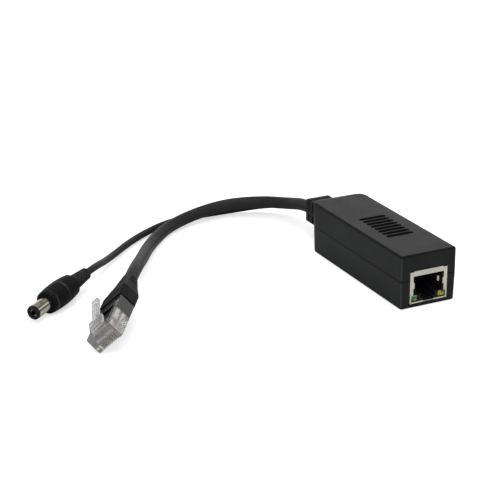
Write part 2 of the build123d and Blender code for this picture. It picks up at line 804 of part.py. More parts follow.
def tube(points, diameter, radii):
    # A round cord along straight runs joined by tangent arcs.
    with BuildLine() as route:
        FilletPolyline(*points, radius=radii)
    with BuildSketch(Plane(origin=points[0], z_dir=points[1] - points[0])) as section:
        Circle(diameter / 2)
    sweep(section.sketch, path=route.line)
    return sum(edge.length for edge in route.edges())


def corner_radii(points):
    # Each corner takes a share of its shorter run, so that two arcs never meet on one run.
    radii = []
    for before, corner, after in zip(points, points[1:], points[2:]):
        arrive = corner - before
        leave = after - corner
        half_turn = radians(arrive.get_angle(leave)) / 2
        radii.append(corner_share * min(arrive.length, leave.length) / tan(half_turn))
    return radii


# Wires inside the housing, from the grommet's flange up to the underside of the board
lead_start_x = rear_face_x + shell_wall + fit_gap + grommet_flange_thickness


def inner_lead(lead_y, lead_z, rise_x, diameter):
    points = [
        Vector(lead_start_x, lead_y, lead_z),
        Vector((lead_start_x + rise_x) / 2, lead_y, lead_z),
        Vector(rise_x, lead_y, (lead_z + board_bottom_z) / 2),
        Vector(rise_x, lead_y, board_bottom_z),
    ]
    tube(points, diameter, corner_radii(points))


with BuildPart() as network_leads:
    for row, rise_x in ((0.5, lead_board_x - network_lead_row_pitch), (-0.5, lead_board_x)):
        lead_z = network_cable_z - lead_drop + row * network_lead_row_pitch
        for column in range(network_lead_columns):
            lead_offset = (column - (network_lead_columns - 1) / 2) * network_lead_pitch
            inner_lead(network_cable_y + lead_offset, lead_z, rise_x, network_lead_diameter)
save(network_leads, "network_leads")

for lead_name, lead_side in (("dc_lead_positive", 1), ("dc_lead_negative", -1)):
    with BuildPart() as dc_lead:
        lead_y = dc_cable_y + lead_side * dc_lead_pitch / 2
        inner_lead(lead_y, dc_cable_z - lead_drop, lead_board_x, dc_lead_diameter)
    save(dc_lead, lead_name)


# Network plug body: one clear moulding with the spring latch
plug_mid_level = plug_height / 2
knee_point = plug_plane.from_local_coords(Vector(-latch_knee[0], 0, latch_knee[1]))
tip_point = plug_plane.from_local_coords(Vector(-latch_tip[0], 0, latch_tip[1]))
tail_run = (tip_point - knee_point).normalized()
tail_normal = plug_plane.y_dir.cross(tail_run).normalized() * -1
latch_tail_plane = Plane(
    origin=(knee_point + tip_point) / 2 + tail_normal * latch_thickness / 2,
    x_dir=tail_run,
    z_dir=tail_normal,
)
with BuildPart() as plug_body:
    with BuildSketch(plug_side):
        with BuildLine():
            Polyline(
                (0, 0),
                (-plug_length, 0),
                (-plug_length, plug_height),
                (-plug_nose_bevel, plug_height),
                (0, plug_height - plug_nose_bevel),
                close=True,
            )
        make_face()
    extrude(amount=plug_width / 2, both=True)
    with BuildSketch(plug_face):
        with GridLocations(contact_pitch, contact_pitch, contact_count, 1):
            Rectangle(plug_slot_width, 2 * plug_slot_height)
    extrude(amount=-plug_slot_length, mode=Mode.SUBTRACT)
    with BuildSketch(plug_face.offset(-plug_length)):
        with Locations((0, plug_mid_level)):
            Rectangle(plug_cavity_width, plug_cavity_height)
    extrude(amount=plug_length - plug_cavity_start, mode=Mode.SUBTRACT)
    with BuildSketch(plug_face.offset(-plug_cavity_start)):
        with Locations((0, plug_wire_level)):
            Rectangle(contact_row, plug_wire_diameter + 2 * fit_gap)
    extrude(amount=plug_cavity_start - plug_wire_start, mode=Mode.SUBTRACT)
    with BuildSketch(plug_side):
        with Locations((-plug_clamp_start, 0)):
            Rectangle(
                plug_clamp_length,
                2 * plug_clamp_depth,
                align=(Align.MAX, Align.CENTER),
            )
    extrude(amount=contact_row / 2, both=True, mode=Mode.SUBTRACT)
    with BuildSketch(plug_side):
        with Locations((-plug_nose_bevel * 2, plug_height)):
            Rectangle(
                latch_channel_length,
                2 * latch_channel_depth,
                align=(Align.MAX, Align.CENTER),
            )
    extrude(amount=latch_wide / 2 + latch_side_gap, both=True, mode=Mode.SUBTRACT)
    with BuildSketch(plug_side) as latch_profile:
        with BuildLine():
            FilletPolyline(
                (-plug_nose_bevel - latch_thickness / 2, latch_root_height),
                (-latch_crest[0], latch_crest[1]),
                (-latch_knee[0], latch_knee[1]),
                (-latch_tip[0], latch_tip[1]),
                radius=latch_bend_radius,
            )
        trace(line_width=latch_thickness)
    extrude(amount=latch_tail / 2, both=True)
    with BuildSketch(plug_side):
        add(latch_profile.sketch_local)
        with Locations((-latch_shoulder_x, 0)):
            Rectangle(
                plug_length,
                3 * plug_height,
                align=(Align.MAX, Align.MIN),
                mode=Mode.SUBTRACT,
            )
    extrude(amount=latch_wide / 2, both=True)
    with BuildSketch(latch_tail_plane):
        SlotOverall(latch_recess_length, latch_recess_width)
    extrude(amount=-latch_recess_depth, mode=Mode.SUBTRACT)
save(plug_body, "plug_body")

# Contact blades in the plug's nose
with BuildPart() as plug_contacts:
    with BuildSketch(plug_face.offset(-plug_blade_start)):
        with Locations((0, plug_blade_lift)):
            with GridLocations(contact_pitch, contact_pitch, contact_count, 1):
                Rectangle(
                    plug_blade_thickness,
                    plug_blade_height,
                    align=(Align.CENTER, Align.MIN),
                )
    extrude(amount=-plug_blade_length)
save(plug_contacts, "plug_contacts")

# Conductors that lie side by side in the plug, in two colours
for wire_name, wire_numbers in (("plug_wires_red", (1, 4, 7)), ("plug_wires_pale", (0, 2, 3, 5, 6))):
    with BuildPart() as plug_wires:
        with BuildSketch(plug_face.offset(-plug_wire_start - fit_gap)):
            for number in wire_numbers:
                wire_y = (number - (contact_count - 1) / 2) * contact_pitch
                with Locations((wire_y, plug_wire_level)):
                    Circle(plug_wire_diameter / 2)
        extrude(amount=-(plug_cavity_start - plug_wire_start - fit_gap))
    save(plug_wires, wire_name)

# Plug boot: moulded over the rear of the plug, tapering to the cable, with grip ribs
boot_level = plug_mid_level + boot_lift


def boot_half_sizes(distance):
    # Half width and half height of the boot at a distance behind the plug's nose.
    if distance < boot_shoulder:
        return boot_width / 2, boot_height / 2
    if distance < boot_waist:
        share = (distance - boot_shoulder) / (boot_waist - boot_shoulder)
        near, far = (boot_width, boot_height), (boot_waist_width, boot_waist_height)
    else:
        share = (distance - boot_waist) / (boot_rear - boot_waist)
        near, far = (boot_waist_width, boot_waist_height), (boot_rear_diameter, boot_rear_diameter)
    return (near[0] + share * (far[0] - near[0])) / 2, (near[1] + share * (far[1] - near[1])) / 2


with BuildPart() as plug_boot:
    with BuildSketch(plug_face.offset(-boot_shoulder)):
        with Locations((0, boot_level)):
            RectangleRounded(boot_width, boot_height, boot_corner)
    with BuildSketch(plug_face.offset(-boot_waist)):
        with Locations((0, (boot_level + plug_mid_level) / 2)):
            RectangleRounded(boot_waist_width, boot_waist_height, boot_waist_corner)
    with BuildSketch(plug_face.offset(-boot_rear)):
        with Locations((0, plug_mid_level)):
            RectangleRounded(boot_rear_diameter, boot_rear_diameter, boot_rear_diameter / 2 - fit_gap)
    loft(ruled=True)
    with BuildSketch(plug_face.offset(-boot_shoulder)):
        with Locations((0, boot_level)):
            RectangleRounded(boot_width, boot_height, boot_corner)
    extrude(amount=boot_shoulder - boot_front)
    for index in range(boot_rib_count):
        rib_distance = boot_rib_first + index * boot_rib_pitch
        half_width, half_height = boot_half_sizes(rib_distance + boot_rib_groove)
        wraps_round = rib_distance > boot_side_ribs_from
        core_width = 2 * (half_width - boot_rib_depth) if wraps_round else 2 * boot_width
        with BuildSketch(plug_face.offset(-rib_distance)):
            with Locations((0, boot_level)):
                Rectangle(2 * boot_width, 2 * boot_width)
                Rectangle(core_width, 2 * (half_height - boot_rib_depth), mode=Mode.SUBTRACT)
        extrude(amount=-boot_rib_groove, mode=Mode.SUBTRACT)
    with BuildSketch(plug_face.offset(-plug_length - fit_gap)):
        with Locations((0, plug_mid_level)):
            Rectangle(plug_width + 2 * fit_gap, plug_height + 2 * fit_gap)
    extrude(amount=plug_length, mode=Mode.SUBTRACT)
    with BuildSketch(plug_face.offset(-plug_length - fit_gap)):
        with Locations((0, plug_mid_level)):
            Rectangle(plug_cavity_width - 2 * fit_gap, plug_cavity_height - 2 * fit_gap)
    extrude(amount=plug_length - plug_cavity_start - fit_gap)
save(plug_boot, "plug_boot")

# DC plug: barrel, tip insulator, centre contact and one-piece handle with its ribbed relief
stem_front_x = -dc_barrel_length + dc_stem_step
stem_rear_x = -dc_barrel_length - dc_stem_length
barrel_radius = dc_barrel_diameter / 2
with BuildPart() as dc_barrel:
    with BuildSketch(dc_plane):
        with BuildLine():
            Polyline(
                (-dc_tip_ring, barrel_radius - dc_barrel_wall),
                (-dc_tip_ring, barrel_radius),
                (stem_front_x, barrel_radius),
                (stem_front_x, barrel_radius - dc_stem_inset),
                (stem_rear_x, barrel_radius - dc_stem_inset),
                (stem_rear_x, barrel_radius - dc_barrel_wall),
                close=True,
            )
        make_face()
    revolve(axis=dc_axis)
save(dc_barrel, "dc_barrel")

insulator_radius = barrel_radius - dc_barrel_wall - fit_gap
with BuildPart() as dc_tip_insulator:
    with BuildSketch(dc_plane):
        with BuildLine():
            Polyline(
                (0, dc_throat_diameter / 2),
                (0, barrel_radius - dc_tip_round),
                (-dc_tip_round, barrel_radius - fit_gap),
                (-dc_tip_ring + fit_gap, barrel_radius - fit_gap),
                (-dc_tip_ring + fit_gap, insulator_radius),
                (stem_rear_x, insulator_radius),
                (stem_rear_x, dc_throat_diameter / 2),
                close=True,
            )
        make_face()
    revolve(axis=dc_axis)
save(dc_tip_insulator, "dc_tip_insulator")

contact_outer_radius = dc_throat_diameter / 2 - fit_gap
with BuildPart() as dc_centre_contact:
    with BuildSketch(dc_plane):
        with BuildLine():
            Polyline(
                (-dc_contact_recess, dc_bore_diameter / 2),
                (-dc_contact_recess, contact_outer_radius),
                (-dc_contact_recess - dc_contact_length, contact_outer_radius),
                (-dc_contact_recess - dc_contact_length, dc_bore_diameter / 2),
                close=True,
            )
        make_face()
    revolve(axis=dc_axis)
save(dc_centre_contact, "dc_centre_contact")

handle_front_x = -dc_barrel_length
handle_rear_x = handle_front_x - dc_handle_length
relief_rear_x = handle_rear_x - dc_relief_length


def belly_radius(back):
    # Radius of the handle at a distance behind its front, on the curve through its three set points.
    front, belly, shoulder = dc_front_round, dc_belly_position, dc_shoulder_position
    front_part = dc_front_radius * (back - belly) * (back - shoulder)
    belly_part = dc_belly_radius * (back - front) * (back - shoulder)
    shoulder_part = dc_shoulder_radius * (back - front) * (back - belly)
    return (
        front_part / ((front - belly) * (front - shoulder))
        + belly_part / ((belly - front) * (belly - shoulder))
        + shoulder_part / ((shoulder - front) * (shoulder - belly))
    )


with BuildPart() as dc_handle:
    with BuildSketch(dc_plane):
        with BuildLine():
            Polyline(
                (relief_rear_x, dc_relief_end_radius),
                (relief_rear_x, 0),
                (handle_front_x, 0),
                (handle_front_x, dc_front_radius - dc_front_round),
            )
            ThreePointArc(
                (handle_front_x, dc_front_radius - dc_front_round),
                (
                    handle_front_x - dc_front_round * (1 - cos(pi / 4)),
                    dc_front_radius - dc_front_round * (1 - sin(pi / 4)),
                ),
                (handle_front_x - dc_front_round, dc_front_radius),
            )
            ThreePointArc(
                (handle_front_x - dc_front_round, dc_front_radius),
                (handle_front_x - dc_belly_position, dc_belly_radius),
                (handle_front_x - dc_shoulder_position, dc_shoulder_radius),
            )
            Polyline(
                (handle_front_x - dc_shoulder_position, dc_shoulder_radius),
                (handle_rear_x, dc_relief_radius),
                (relief_rear_x, dc_relief_end_radius),
            )
        make_face()
    revolve(axis=dc_axis)
    with BuildSketch(dc_plane):
        for back in (dc_front_ring, dc_middle_ring):
            with Locations((handle_front_x - back, belly_radius(back))):
                Rectangle(dc_ring_width, 2 * dc_ring_depth)
        with Locations((handle_rear_x, dc_relief_radius)):
            Rectangle(dc_ring_width, 2 * dc_ring_depth)
        relief_pitch = dc_relief_length / (dc_relief_grooves + 0.5)
        for index in range(dc_relief_grooves):
            back = (index + 0.75) * relief_pitch
            slope = (dc_relief_end_radius - dc_relief_radius) / dc_relief_length
            with Locations((handle_rear_x - back, dc_relief_radius + slope * back)):
                Rectangle(dc_relief_groove, 2 * dc_relief_groove_depth)
    revolve(axis=dc_axis, mode=Mode.SUBTRACT)
    with BuildSketch(dc_face.offset(handle_front_x)):
        Circle(barrel_radius - dc_stem_inset + fit_gap)
    extrude(amount=-dc_stem_length - fit_gap, mode=Mode.SUBTRACT)
save(dc_handle, "dc_handle")

# Cables: from the grommet's end face to the rear of the boot and of the power plug's relief.
# Points are chosen by hand to follow the leads as they lie; the first and last two follow the ends.
network_start = Vector(grommet_end_x, network_cable_y, network_cable_z)
network_end = plug_plane.from_local_coords(Vector(-boot_rear, 0, plug_mid_level))
network_points = [
    network_start,
    network_start - Vector(network_run_out, 0, 0),
    Vector(-70.3, -4.1, 7.7),
    Vector(-81.3, -12.2, 6.5),
    Vector(-88.3, -28.9, 5.2),
    Vector(-82.2, -54.0, 2.8),
    Vector(-63.8, -71.2, 2.7),
    Vector(-40.9, -83.7, 6.6),
    network_end - plug_plane.x_dir * network_run_in,
    network_end,
]
dc_start = Vector(grommet_end_x, dc_cable_y, dc_cable_z)
dc_end = dc_plane.from_local_coords(Vector(relief_rear_x, 0, 0))
dc_points = [
    dc_start,
    dc_start - Vector(dc_run_out, 0, 0),
    Vector(-72.7, -0.2, 5.4),
    Vector(-83.3, -7.9, 3.7),
    Vector(-89.7, -22.8, 1.45),
    Vector(-90.4, -48.6, 1.45),
    Vector(-77.0, -71.6, 1.9),
    Vector(-55.5, -93.2, 2.6),
    dc_end - dc_plane.x_dir * dc_run_in,
    dc_end,
]
for cable_name, points, diameter in (
    ("network_cable", network_points, network_cable_diameter),
    ("dc_cable", dc_points, dc_cable_diameter),
):
    radii = corner_radii(points)
    with BuildPart() as cable:
        length = tube(points, diameter, radii)
    save(cable, cable_name)
    section_volume = pi * diameter**2 / 4 * length
    print(cable_name, "length", round(length, 1), "radii", [round(radius, 1) for radius in radii])
    print("  volume over section times length:", round(cable.part.volume / section_volume, 4))
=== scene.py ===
import math

import bpy
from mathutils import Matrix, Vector


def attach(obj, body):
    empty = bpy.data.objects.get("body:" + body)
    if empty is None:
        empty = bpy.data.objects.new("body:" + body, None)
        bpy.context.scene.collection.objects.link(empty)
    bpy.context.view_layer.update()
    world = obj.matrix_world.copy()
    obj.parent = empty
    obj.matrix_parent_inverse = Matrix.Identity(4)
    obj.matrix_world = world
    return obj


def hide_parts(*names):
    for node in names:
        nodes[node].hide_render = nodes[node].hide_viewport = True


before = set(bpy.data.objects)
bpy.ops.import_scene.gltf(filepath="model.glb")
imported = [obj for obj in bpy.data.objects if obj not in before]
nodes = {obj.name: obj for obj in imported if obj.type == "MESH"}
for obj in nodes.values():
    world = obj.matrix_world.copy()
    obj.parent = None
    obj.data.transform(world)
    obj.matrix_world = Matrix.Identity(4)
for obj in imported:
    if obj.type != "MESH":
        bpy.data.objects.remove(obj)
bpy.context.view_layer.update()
print("frame loaded:", len(nodes), "nodes")


# small helpers for node trees

def addNode(tree, kind, **settings):
    node = tree.nodes.new(kind)
    for name, value in settings.items():
        setattr(node, name, value)
    return node


def feed(tree, socket, value):
    # a socket takes either another node's output or a plain value
    if isinstance(value, bpy.types.NodeSocket):
        tree.links.new(value, socket)
    else:
        socket.default_value = value


def maths(tree, operation, first, second=0.0, clamp=False):
    node = addNode(tree, "ShaderNodeMath", operation=operation, use_clamp=clamp)
    feed(tree, node.inputs[0], first)
    feed(tree, node.inputs[1], second)
    return node.outputs[0]


def spread(tree, value, fromLow, fromHigh, toLow=0.0, toHigh=1.0):
    # one range of a value becomes 0 to 1, or the given range, and stays inside it
    node = addNode(tree, "ShaderNodeMapRange")
    feed(tree, node.inputs["Value"], value)
    feed(tree, node.inputs["From Min"], fromLow)
    feed(tree, node.inputs["From Max"], fromHigh)
    feed(tree, node.inputs["To Min"], toLow)
    feed(tree, node.inputs["To Max"], toHigh)
    return node.outputs["Result"]


def blendColour(tree, mask, first, second):
    # sockets 6 and 7 of a Mix node are its two colours, and output 2 is the mixed one
    node = addNode(tree, "ShaderNodeMix", data_type="RGBA")
    feed(tree, node.inputs[0], mask)
    feed(tree, node.inputs[6], first)
    feed(tree, node.inputs[7], second)
    return node.outputs[2]


def noise(tree, where, scale, detail, roughness=0.5):
    node = addNode(tree, "ShaderNodeTexNoise")
    feed(tree, node.inputs["Vector"], where)
    feed(tree, node.inputs["Scale"], scale)
    node.inputs["Detail"].default_value = detail
    node.inputs["Roughness"].default_value = roughness
    return node.outputs["Fac"]


def objectSpace(tree):
    return addNode(tree, "ShaderNodeTexCoord").outputs["Object"]


# shared effects, each one node group

numberSocket = "NodeSocketFloat"
vectorSocket = "NodeSocketVector"


def startGroup(name, inputs, outputs):
    # inputs are numbers with their starting values, outputs are names with their kinds
    group = bpy.data.node_groups.new(name, "ShaderNodeTree")
    for label, value in inputs.items():
        socket = group.interface.new_socket(label, in_out="INPUT", socket_type=numberSocket)
        socket.default_value = value
    for label, kind in outputs.items():
        group.interface.new_socket(label, in_out="OUTPUT", socket_type=kind)
    return group, addNode(group, "NodeGroupInput"), addNode(group, "NodeGroupOutput")


def buildMouldGrain():
    # spark-eroded mould texture: soft pits with a finer grain on top, and a broad change of tone
    group, given, result = startGroup(
        "mouldGrain",
        {"Scale": 3000.0, "Pits": 0.5},
        {"Height": numberSocket, "Tone": numberSocket},
    )
    where = objectSpace(group)
    scale = given.outputs["Scale"]
    fine = noise(group, where, scale, 2.0, 0.6)
    pits = addNode(group, "ShaderNodeTexVoronoi", feature="SMOOTH_F1")
    pitScale = maths(group, "MULTIPLY", scale, 0.55)
    feed(group, pits.inputs["Vector"], where)
    feed(group, pits.inputs["Scale"], pitScale)
    pits.inputs["Smoothness"].default_value = 0.6
    pitted = maths(group, "MULTIPLY", pits.outputs["Distance"], given.outputs["Pits"])
    feed(group, result.inputs["Height"], maths(group, "ADD", fine, pitted))
    toneScale = maths(group, "MULTIPLY", scale, 0.04)
    feed(group, result.inputs["Tone"], noise(group, where, toneScale, 4.0))
    return group


def buildEdgeWearAndLight():
    # rubbing on edges, also used for painted highlights and painted shade on edges: where the
    # rounded normal turns away from the flat one, broken up by noise
    group, given, result = startGroup(
        "edgeWearAndLight",
        {"Radius": 0.0003, "Breakup": 900.0, "Spread": 0.25},
        {"Mask": numberSocket, "Normal": vectorSocket},
    )
    rounded = addNode(group, "ShaderNodeBevel", samples=6)
    feed(group, rounded.inputs["Radius"], given.outputs["Radius"])
    flat = addNode(group, "ShaderNodeNewGeometry").outputs["Normal"]
    agree = addNode(group, "ShaderNodeVectorMath", operation="DOT_PRODUCT")
    feed(group, agree.inputs[0], rounded.outputs["Normal"])
    feed(group, agree.inputs[1], flat)
    turned = maths(group, "SUBTRACT", 1.0, agree.outputs["Value"])
    edge = spread(group, turned, 0.0, given.outputs["Spread"])
    patches = noise(group, objectSpace(group), given.outputs["Breakup"], 4.0, 0.65)
    patchy = spread(group, patches, 0.38, 0.62)
    feed(group, result.inputs["Mask"], maths(group, "MULTIPLY", edge, patchy, clamp=True))
    feed(group, result.inputs["Normal"], rounded.outputs["Normal"])
    return group


def buildPaintedEdgeLight():
    # rounded edges told apart for painted light: upright corners get a painted highlight, and
    # edges that look up get painted shade
    group, given, result = startGroup(
        "paintedEdgeLight",
        {"Radius": 0.001},
        {"UprightHighlight": numberSocket, "Upper": numberSocket},
    )
    rounded = addNode(group, "ShaderNodeBevel", samples=6)
    feed(group, rounded.inputs["Radius"], given.outputs["Radius"])
    axes = addNode(group, "ShaderNodeSeparateXYZ")
    feed(group, axes.inputs[0], rounded.outputs["Normal"])
    alongX = maths(group, "ABSOLUTE", axes.outputs["X"])
    alongY = maths(group, "ABSOLUTE", axes.outputs["Y"])
    between = spread(group, maths(group, "MINIMUM", alongX, alongY), 0.2, 0.55)
    steepness = maths(group, "ABSOLUTE", axes.outputs["Z"])
    level = spread(group, steepness, 0.1, 0.5, 1.0, 0.0)
    feed(group, result.inputs["UprightHighlight"], maths(group, "MULTIPLY", between, level, clamp=True))
    rising = spread(group, axes.outputs["Z"], 0.12, 0.35)
    falling = spread(group, axes.outputs["Z"], 0.85, 0.97, 1.0, 0.0)
    feed(group, result.inputs["Upper"], maths(group, "MULTIPLY", rising, falling, clamp=True))
    return group


def buildPaintedCreaseLight():
    # painted shade in grooves and inner corners, found by ambient occlusion; a lighter colour
    # makes it a painted highlight there
    group, given, result = startGroup("paintedCreaseLight", {"Reach": 0.0006}, {"Mask": numberSocket})
    hollow = addNode(group, "ShaderNodeAmbientOcclusion", samples=8, only_local=True)
    feed(group, hollow.inputs["Distance"], given.outputs["Reach"])
    feed(group, result.inputs["Mask"], spread(group, hollow.outputs["AO"], 0.95, 0.45))
    return group


def buildDustFilm():
    # a thin film of dust on what faces up
    group, given, result = startGroup(
        "dustFilm",
        {"Amount": 0.1, "Scale": 400.0},
        {"Mask": numberSocket},
    )
    facing = addNode(group, "ShaderNodeSeparateXYZ")
    feed(group, facing.inputs[0], addNode(group, "ShaderNodeNewGeometry").outputs["Normal"])
    upward = spread(group, facing.outputs["Z"], 0.2, 1.0)
    grit = noise(group, objectSpace(group), given.outputs["Scale"], 6.0, 0.7)
    film = maths(group, "MULTIPLY", upward, spread(group, grit, 0.35, 0.75))
    amount = given.outputs["Amount"]
    feed(group, result.inputs["Mask"], maths(group, "MULTIPLY", film, amount, clamp=True))
    return group


def buildHandling():
    # broad smudges left by fingers, as a change of roughness
    group, given, result = startGroup(
        "handling",
        {"Scale": 60.0, "Low": 0.35, "High": 0.5},
        {"Roughness": numberSocket},
    )
    marks = noise(group, objectSpace(group), given.outputs["Scale"], 5.0, 0.6)
    gloss = spread(group, marks, 0.3, 0.7, given.outputs["Low"], given.outputs["High"])
    feed(group, result.inputs["Roughness"], gloss)
    return group


def buildDrawnLines():
    # fine lines left by rolling or turning, stretched along one axis
    group, given, result = startGroup(
        "drawnLines",
        {"Across": 6000.0, "Along": 200.0},
        {"Height": numberSocket},
    )
    size = addNode(group, "ShaderNodeCombineXYZ")
    feed(group, size.inputs[0], given.outputs["Along"])
    feed(group, size.inputs[1], given.outputs["Across"])
    feed(group, size.inputs[2], given.outputs["Across"])
    stretched = addNode(group, "ShaderNodeVectorMath", operation="MULTIPLY")
    feed(group, stretched.inputs[0], objectSpace(group))
    feed(group, stretched.inputs[1], size.outputs[0])
    feed(group, result.inputs["Height"], noise(group, stretched.outputs[0], 1.0, 2.0))
    return group


mouldGrain = buildMouldGrain()
edgeWearAndLight = buildEdgeWearAndLight()
paintedEdgeLight = buildPaintedEdgeLight()
paintedCreaseLight = buildPaintedCreaseLight()
dustFilm = buildDustFilm()
handling = buildHandling()
drawnLines = buildDrawnLines()
print("shared effects built")


# materials

def startMaterial(name):
    material = bpy.data.materials.new(name)
    material.use_nodes = True
    return material, material.node_tree, material.node_tree.nodes["Principled BSDF"]


def place(tree, group, **values):
    # a shared effect goes into a material with that material's own values
    node = addNode(tree, "ShaderNodeGroup", node_tree=group)
    for name, value in values.items():
        node.inputs[name].default_value = value
    return node.outputs


def setShader(shader, **values):
    # a socket's name is written with underscores for its spaces
    for name, value in values.items():
        shader.inputs[name.replace("_", " ")].default_value = value


def placeEdgeWearAndLight(tree, look):
    return place(tree, edgeWearAndLight, Radius=look["edgeRadius"], Breakup=look["edgeBreakup"])


def smudge(tree, shader, look):
    # the roughness wanders between the two ends of the look's gloss
    low, high = look["gloss"]
    marks = place(tree, handling, Scale=look["smudgeScale"], Low=low, High=high)
    feed(tree, shader.inputs["Roughness"], marks["Roughness"])


def bumped(tree, shader, height, strength, distance, normal=None):
    bump = addNode(tree, "ShaderNodeBump")
    bump.inputs["Strength"].default_value = strength
    bump.inputs["Distance"].default_value = distance
    feed(tree, bump.inputs["Height"], height)
    if normal is not None:
        feed(tree, bump.inputs["Normal"], normal)
    feed(tree, shader.inputs["Normal"], bump.outputs["Normal"])


def paint(material, *names):
    for name in names:
        for slot in nodes[name].material_slots:
            slot.material = material


# what a moulded plastic has where its own look says nothing else
plasticLook = {
    "specular": 0.5,
    "ior": 1.5,
    "smudgeScale": 60.0,
    "pits": 0.5,
    "grainDepth": 0.00002,
    "edgeBreakup": 900.0,
    "wearAndLight": 0.5,
    "dustColour": (0.25, 0.24, 0.22, 1),
}


def mouldedPlastic(name, ownLook):
    look = dict(plasticLook, **ownLook)
    material, tree, shader = startMaterial(name)
    grain = place(tree, mouldGrain, Scale=look["grainScale"], Pits=look["pits"])
    edgeWearAndLightMarks = placeEdgeWearAndLight(tree, look)
    film = place(tree, dustFilm, Amount=look["dust"])
    smudge(tree, shader, look)
    clouds = spread(tree, grain["Tone"], 0.3, 0.7)
    tone = blendColour(tree, clouds, look["colour"], look["colourFar"])
    # edges lighter by rubbing, and on the housing and the soft PVC by a painted highlight
    rubbedAndLit = maths(tree, "MULTIPLY", edgeWearAndLightMarks["Mask"], look["wearAndLight"])
    tone = blendColour(tree, rubbedAndLit, tone, look["edgeColour"])
    # painted highlight on upright corners and painted shade on edges that look up
    if "paintedCornerHighlight" in look:
        ends = place(tree, paintedEdgeLight, Radius=look["cornerRadius"])
        tone = blendColour(tree, ends["UprightHighlight"], tone, look["paintedCornerHighlight"])
        tone = blendColour(tree, ends["Upper"], tone, look["paintedRimShade"])
    # painted light in grooves and inner corners: shade where the colour is darker, a highlight
    # where it is lighter
    if "paintedCreaseColour" in look:
        grooves = place(tree, paintedCreaseLight, Reach=look["creaseReach"])
        tone = blendColour(tree, grooves["Mask"], tone, look["paintedCreaseColour"])
    tone = blendColour(tree, film["Mask"], tone, look["dustColour"])
    feed(tree, shader.inputs["Base Color"], tone)
    setShader(shader, IOR=look["ior"], Specular_IOR_Level=look["specular"])
    bumped(tree, shader, grain["Height"], look["grainStrength"], look["grainDepth"])
    return material


# what a plated metal has where its own look says nothing else
metalLook = {
    "smudgeScale": 150.0,
    "tarnishScale": 220.0,
    "linesAcross": 6000.0,
    "linesAlong": 200.0,
    "lineStrength": 0.15,
    "lineDepth": 0.00001,
    "edgeBreakup": 1500.0,
    "wearAndLight": 0.5,
}


def platedMetal(name, ownLook):
    look = dict(metalLook, **ownLook)
    material, tree, shader = startMaterial(name)
    lines = place(tree, drawnLines, Across=look["linesAcross"], Along=look["linesAlong"])
    edgeWearAndLightMarks = placeEdgeWearAndLight(tree, look)
    smudge(tree, shader, look)
    clouds = noise(tree, objectSpace(tree), look["tarnishScale"], 4.0)
    tone = blendColour(tree, spread(tree, clouds, 0.35, 0.7), look["colour"], look["tarnish"])
    rubbedAndLit = maths(tree, "MULTIPLY", edgeWearAndLightMarks["Mask"], look["wearAndLight"])
    tone = blendColour(tree, rubbedAndLit, tone, look["edgeColour"])
    feed(tree, shader.inputs["Base Color"], tone)
    setShader(shader, Metallic=1.0)
    bumped(tree, shader, lines["Height"], look["lineStrength"], look["lineDepth"])
    return material


# housing: satin charcoal-black ABS with a fine mould texture, a painted highlight on its upright
# corners and painted shade along its upper edges
housingLook = {
    "colour": (0.0125, 0.0131, 0.0131, 1),
    "colourFar": (0.0162, 0.0168, 0.0165, 1),
    # lighter edges by rubbing and by a painted highlight; a painted highlight on the upright
    # corners and painted shade along the upper edges
    "edgeColour": (0.035, 0.035, 0.035, 1),
    "paintedCornerHighlight": (0.042, 0.043, 0.043, 1),
    "cornerRadius": 0.001,
    "paintedRimShade": (0.003, 0.003, 0.003, 1),
    "specular": 0.085,
    "gloss": (0.32, 0.42),
    "grainScale": 3400.0,
    "grainStrength": 0.35,
    "edgeRadius": 0.0004,
    "wearAndLight": 0.35,
    "dust": 0.03,
}
paint(mouldedPlastic("housingPlastic", housingLook), "upper_shell", "lower_shell")

# soft PVC: the plug's boot as it is, with a painted highlight on its rib edges and painted shade
# in its grooves, then the grommet and the handle that start from it
sleeveLook = {
    "colour": (0.0068, 0.0071, 0.0071, 1),
    "colourFar": (0.0098, 0.0101, 0.0099, 1),
    # painted highlight on rib edges, partly rubbing; painted shade in the grooves
    "edgeColour": (0.12, 0.12, 0.118, 1),
    "paintedCreaseColour": (0.0008, 0.0008, 0.0008, 1),
    "creaseReach": 0.0007,
    "specular": 0.04,
    "gloss": (0.38, 0.5),
    "grainScale": 2600.0,
    "grainStrength": 0.3,
    "edgeRadius": 0.00012,
    "edgeBreakup": 500.0,
    "wearAndLight": 0.6,
    "dust": 0.03,
}
paint(mouldedPlastic("sleevePlastic", sleeveLook), "plug_boot")

# the grommet is a lighter grey
grommetLook = dict(
    sleeveLook,
    colour=(0.021, 0.0216, 0.0214, 1),
    colourFar=(0.026, 0.0266, 0.0263, 1),
)
paint(mouldedPlastic("grommetPlastic", grommetLook), "cable_grommet")

# the power plug's handle has painted highlights on its seam rings, along their edges and in their
# grooves
handleLook = dict(
    sleeveLook,
    edgeColour=(0.36, 0.36, 0.35, 1),
    paintedCreaseColour=(0.06, 0.06, 0.06, 1),
    edgeRadius=0.00025,
    wearAndLight=1.0,
    edgeBreakup=80.0,
)
paint(mouldedPlastic("handlePlastic", handleLook), "dc_handle")

# plated metal: the jack's shield, the power plug's barrel, and gold on the contacts
shieldLook = {
    "colour": (0.66, 0.645, 0.55, 1),
    "tarnish": (0.52, 0.508, 0.425, 1),
    "edgeColour": (0.76, 0.75, 0.67, 1),
    "gloss": (0.22, 0.36),
    "edgeRadius": 0.0002,
    "lineStrength": 0.2,
}
paint(platedMetal("shieldNickel", shieldLook), "jack_shield")

barrelLook = {
    "colour": (0.60, 0.58, 0.48, 1),
    "tarnish": (0.50, 0.482, 0.392, 1),
    "edgeColour": (0.74, 0.72, 0.63, 1),
    "gloss": (0.14, 0.24),
    "edgeRadius": 0.0002,
    "smudgeScale": 300.0,
}
paint(platedMetal("barrelNickel", barrelLook), "dc_barrel", "dc_centre_contact")

